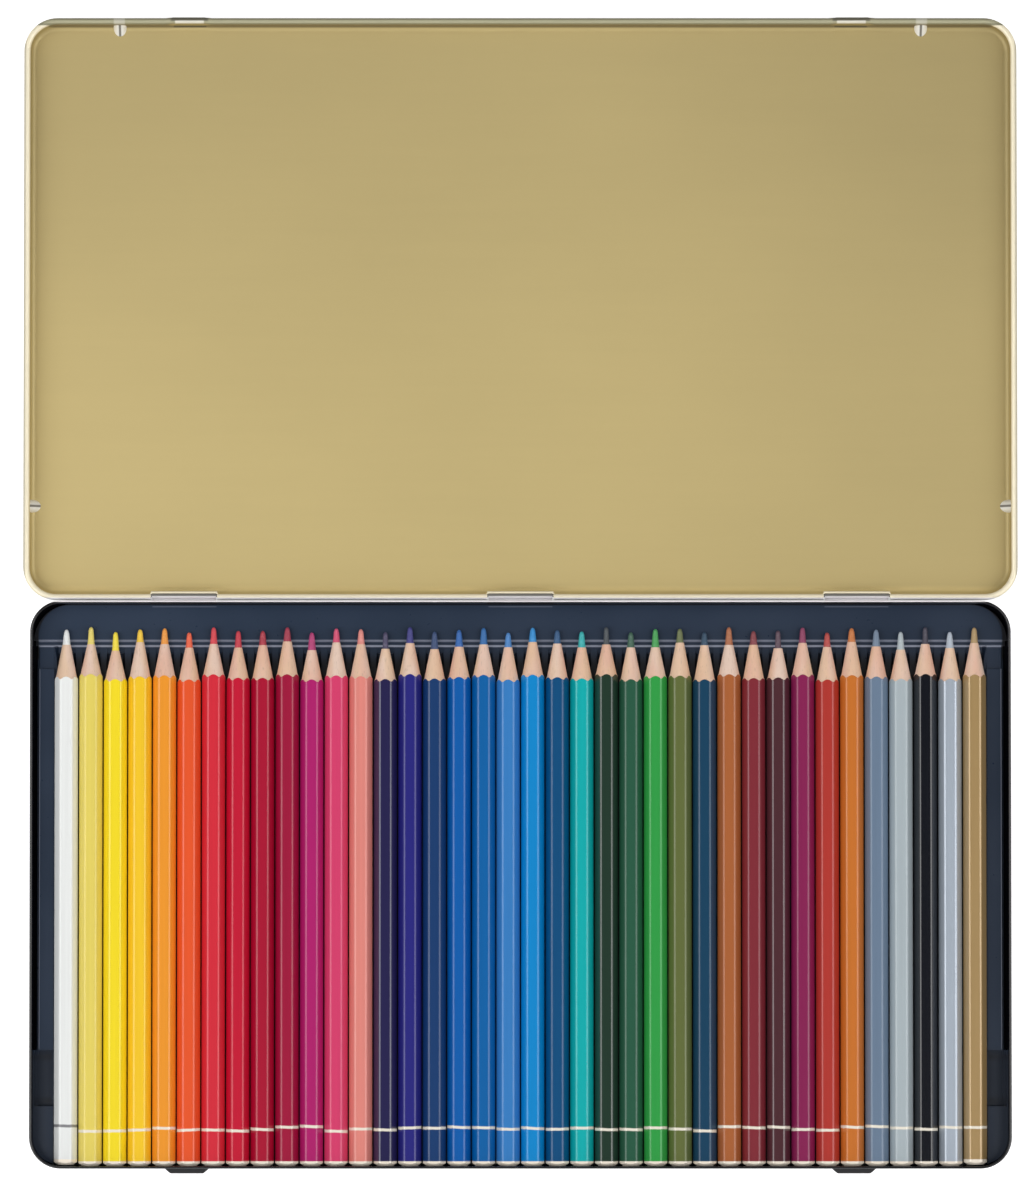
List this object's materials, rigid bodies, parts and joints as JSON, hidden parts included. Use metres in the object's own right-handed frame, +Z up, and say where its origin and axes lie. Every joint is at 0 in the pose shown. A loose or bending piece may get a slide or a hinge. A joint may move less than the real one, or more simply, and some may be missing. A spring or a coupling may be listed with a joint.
{
  "type": "coloured pencil tin",
  "caption": "Flat hinged metal tin, laid open, with a moulded insert holding one row of sharpened hexagonal coloured pencils that lift out.",
  "frame": {"origin": "middle of the footprint of the open tin, on the table", "axes": "+Z up, +X to the right along the hinge, +Y from the tray towards the open lid"},
  "size_m": [0.3236, 0.3763, 0.01],
  "materials": {
    "tray_lacquer": "gloss black lacquer on tinplate",
    "lid_lacquer": "satin gold lacquer on tinplate",
    "hinge_wire": "drawn wire",
    "insert_plastic": "satin thermoformed film",
    "lacquer_white": "gloss lacquer on cedar",
    "lacquer_light_yellow": "gloss lacquer on cedar",
    "lacquer_yellow": "gloss lacquer on cedar",
    "lacquer_golden_yellow": "gloss lacquer on cedar",
    "lacquer_orange": "gloss lacquer on cedar",
    "lacquer_deep_orange": "gloss lacquer on cedar",
    "lacquer_red": "gloss lacquer on cedar",
    "lacquer_crimson": "gloss lacquer on cedar",
    "lacquer_dark_red": "gloss lacquer on cedar",
    "lacquer_wine_red": "gloss lacquer on cedar",
    "lacquer_magenta": "gloss lacquer on cedar",
    "lacquer_pink": "gloss lacquer on cedar",
    "lacquer_salmon": "gloss lacquer on cedar",
    "lacquer_navy_violet": "gloss lacquer on cedar",
    "lacquer_ultramarine_violet": "gloss lacquer on cedar",
    "lacquer_dark_blue": "gloss lacquer on cedar",
    "lacquer_blue": "gloss lacquer on cedar",
    "lacquer_azure": "gloss lacquer on cedar",
    "lacquer_cornflower": "gloss lacquer on cedar",
    "lacquer_cyan": "gloss lacquer on cedar",
    "lacquer_teal_blue": "gloss lacquer on cedar",
    "lacquer_turquoise": "gloss lacquer on cedar",
    "lacquer_black_green": "gloss lacquer on cedar",
    "lacquer_dark_green": "gloss lacquer on cedar",
    "lacquer_green": "gloss lacquer on cedar",
    "lacquer_olive": "gloss lacquer on cedar",
    "lacquer_indigo_teal": "gloss lacquer on cedar",
    "lacquer_sienna": "gloss lacquer on cedar",
    "lacquer_red_brown": "gloss lacquer on cedar",
    "lacquer_dark_brown": "gloss lacquer on cedar",
    "lacquer_wine_purple": "gloss lacquer on cedar",
    "lacquer_brick": "gloss lacquer on cedar",
    "lacquer_ochre": "gloss lacquer on cedar",
    "lacquer_grey_blue": "gloss lacquer on cedar",
    "lacquer_light_grey": "gloss lacquer on cedar",
    "lacquer_black": "gloss lacquer on cedar",
    "lacquer_silver": "gloss lacquer on cedar",
    "lacquer_bronze": "gloss lacquer on cedar"
  },
  "bodies": {
    "tray": {"tray_shell": "tray_lacquer", "pencil_insert": "insert_plastic"},
    "lid": {"lid_shell": "lid_lacquer", "hinge_pin_left": "hinge_wire", "hinge_pin_middle": "hinge_wire", "hinge_pin_right": "hinge_wire"},
    "pencil_01": {"pencil_01": "lacquer_white"},
    "pencil_02": {"pencil_02": "lacquer_light_yellow"},
    "pencil_03": {"pencil_03": "lacquer_yellow"},
    "pencil_04": {"pencil_04": "lacquer_golden_yellow"},
    "pencil_05": {"pencil_05": "lacquer_orange"},
    "pencil_06": {"pencil_06": "lacquer_deep_orange"},
    "pencil_07": {"pencil_07": "lacquer_red"},
    "pencil_08": {"pencil_08": "lacquer_crimson"},
    "pencil_09": {"pencil_09": "lacquer_dark_red"},
    "pencil_10": {"pencil_10": "lacquer_wine_red"},
    "pencil_11": {"pencil_11": "lacquer_magenta"},
    "pencil_12": {"pencil_12": "lacquer_pink"},
    "pencil_13": {"pencil_13": "lacquer_salmon"},
    "pencil_14": {"pencil_14": "lacquer_navy_violet"},
    "pencil_15": {"pencil_15": "lacquer_ultramarine_violet"},
    "pencil_16": {"pencil_16": "lacquer_dark_blue"},
    "pencil_17": {"pencil_17": "lacquer_blue"},
    "pencil_18": {"pencil_18": "lacquer_azure"},
    "pencil_19": {"pencil_19": "lacquer_cornflower"},
    "pencil_20": {"pencil_20": "lacquer_cyan"},
    "pencil_21": {"pencil_21": "lacquer_teal_blue"},
    "pencil_22": {"pencil_22": "lacquer_turquoise"},
    "pencil_23": {"pencil_23": "lacquer_black_green"},
    "pencil_24": {"pencil_24": "lacquer_dark_green"},
    "pencil_25": {"pencil_25": "lacquer_green"},
    "pencil_26": {"pencil_26": "lacquer_olive"},
    "pencil_27": {"pencil_27": "lacquer_indigo_teal"},
    "pencil_28": {"pencil_28": "lacquer_sienna"},
    "pencil_29": {"pencil_29": "lacquer_red_brown"},
    "pencil_30": {"pencil_30": "lacquer_dark_brown"},
    "pencil_31": {"pencil_31": "lacquer_wine_purple"},
    "pencil_32": {"pencil_32": "lacquer_brick"},
    "pencil_33": {"pencil_33": "lacquer_ochre"},
    "pencil_34": {"pencil_34": "lacquer_grey_blue"},
    "pencil_35": {"pencil_35": "lacquer_light_grey"},
    "pencil_36": {"pencil_36": "lacquer_black"},
    "pencil_37": {"pencil_37": "lacquer_silver"},
    "pencil_38": {"pencil_38": "lacquer_bronze"}
  },
  "joints": [
    {"name": "lid_hinge", "type": "hinge", "parent": "tray", "child": "lid", "pos_m": [0, -0.0006, 0.0065], "axis": [-1, 0, 0], "range_deg": [-180, 0]},
    {"name": "pencil_01_lift", "type": "slide", "parent": "tray", "child": "pencil_01", "axis": [0, 0, 1], "range_m": [0, 0.03]},
    {"name": "pencil_02_lift", "type": "slide", "parent": "tray", "child": "pencil_02", "axis": [0, 0, 1], "range_m": [0, 0.03]},
    {"name": "pencil_03_lift", "type": "slide", "parent": "tray", "child": "pencil_03", "axis": [0, 0, 1], "range_m": [0, 0.03]},
    {"name": "pencil_04_lift", "type": "slide", "parent": "tray", "child": "pencil_04", "axis": [0, 0, 1], "range_m": [0, 0.03]},
    {"name": "pencil_05_lift", "type": "slide", "parent": "tray", "child": "pencil_05", "axis": [0, 0, 1], "range_m": [0, 0.03]},
    {"name": "pencil_06_lift", "type": "slide", "parent": "tray", "child": "pencil_06", "axis": [0, 0, 1], "range_m": [0, 0.03]},
    {"name": "pencil_07_lift", "type": "slide", "parent": "tray", "child": "pencil_07", "axis": [0, 0, 1], "range_m": [0, 0.03]},
    {"name": "pencil_08_lift", "type": "slide", "parent": "tray", "child": "pencil_08", "axis": [0, 0, 1], "range_m": [0, 0.03]},
    {"name": "pencil_09_lift", "type": "slide", "parent": "tray", "child": "pencil_09", "axis": [0, 0, 1], "range_m": [0, 0.03]},
    {"name": "pencil_10_lift", "type": "slide", "parent": "tray", "child": "pencil_10", "axis": [0, 0, 1], "range_m": [0, 0.03]},
    {"name": "pencil_11_lift", "type": "slide", "parent": "tray", "child": "pencil_11", "axis": [0, 0, 1], "range_m": [0, 0.03]},
    {"name": "pencil_12_lift", "type": "slide", "parent": "tray", "child": "pencil_12", "axis": [0, 0, 1], "range_m": [0, 0.03]},
    {"name": "pencil_13_lift", "type": "slide", "parent": "tray", "child": "pencil_13", "axis": [0, 0, 1], "range_m": [0, 0.03]},
    {"name": "pencil_14_lift", "type": "slide", "parent": "tray", "child": "pencil_14", "axis": [0, 0, 1], "range_m": [0, 0.03]},
    {"name": "pencil_15_lift", "type": "slide", "parent": "tray", "child": "pencil_15", "axis": [0, 0, 1], "range_m": [0, 0.03]},
    {"name": "pencil_16_lift", "type": "slide", "parent": "tray", "child": "pencil_16", "axis": [0, 0, 1], "range_m": [0, 0.03]},
    {"name": "pencil_17_lift", "type": "slide", "parent": "tray", "child": "pencil_17", "axis": [0, 0, 1], "range_m": [0, 0.03]},
    {"name": "pencil_18_lift", "type": "slide", "parent": "tray", "child": "pencil_18", "axis": [0, 0, 1], "range_m": [0, 0.03]},
    {"name": "pencil_19_lift", "type": "slide", "parent": "tray", "child": "pencil_19", "axis": [0, 0, 1], "range_m": [0, 0.03]},
    {"name": "pencil_20_lift", "type": "slide", "parent": "tray", "child": "pencil_20", "axis": [0, 0, 1], "range_m": [0, 0.03]},
    {"name": "pencil_21_lift", "type": "slide", "parent": "tray", "child": "pencil_21", "axis": [0, 0, 1], "range_m": [0, 0.03]},
    {"name": "pencil_22_lift", "type": "slide", "parent": "tray", "child": "pencil_22", "axis": [0, 0, 1], "range_m": [0, 0.03]},
    {"name": "pencil_23_lift", "type": "slide", "parent": "tray", "child": "pencil_23", "axis": [0, 0, 1], "range_m": [0, 0.03]},
    {"name": "pencil_24_lift", "type": "slide", "parent": "tray", "child": "pencil_24", "axis": [0, 0, 1], "range_m": [0, 0.03]},
    {"name": "pencil_25_lift", "type": "slide", "parent": "tray", "child": "pencil_25", "axis": [0, 0, 1], "range_m": [0, 0.03]},
    {"name": "pencil_26_lift", "type": "slide", "parent": "tray", "child": "pencil_26", "axis": [0, 0, 1], "range_m": [0, 0.03]},
    {"name": "pencil_27_lift", "type": "slide", "parent": "tray", "child": "pencil_27", "axis": [0, 0, 1], "range_m": [0, 0.03]},
    {"name": "pencil_28_lift", "type": "slide", "parent": "tray", "child": "pencil_28", "axis": [0, 0, 1], "range_m": [0, 0.03]},
    {"name": "pencil_29_lift", "type": "slide", "parent": "tray", "child": "pencil_29", "axis": [0, 0, 1], "range_m": [0, 0.03]},
    {"name": "pencil_30_lift", "type": "slide", "parent": "tray", "child": "pencil_30", "axis": [0, 0, 1], "range_m": [0, 0.03]},
    {"name": "pencil_31_lift", "type": "slide", "parent": "tray", "child": "pencil_31", "axis": [0, 0, 1], "range_m": [0, 0.03]},
    {"name": "pencil_32_lift", "type": "slide", "parent": "tray", "child": "pencil_32", "axis": [0, 0, 1], "range_m": [0, 0.03]},
    {"name": "pencil_33_lift", "type": "slide", "parent": "tray", "child": "pencil_33", "axis": [0, 0, 1], "range_m": [0, 0.03]},
    {"name": "pencil_34_lift", "type": "slide", "parent": "tray", "child": "pencil_34", "axis": [0, 0, 1], "range_m": [0, 0.03]},
    {"name": "pencil_35_lift", "type": "slide", "parent": "tray", "child": "pencil_35", "axis": [0, 0, 1], "range_m": [0, 0.03]},
    {"name": "pencil_36_lift", "type": "slide", "parent": "tray", "child": "pencil_36", "axis": [0, 0, 1], "range_m": [0, 0.03]},
    {"name": "pencil_37_lift", "type": "slide", "parent": "tray", "child": "pencil_37", "axis": [0, 0, 1], "range_m": [0, 0.03]},
    {"name": "pencil_38_lift", "type": "slide", "parent": "tray", "child": "pencil_38", "axis": [0, 0, 1], "range_m": [0, 0.03]}
  ]
}
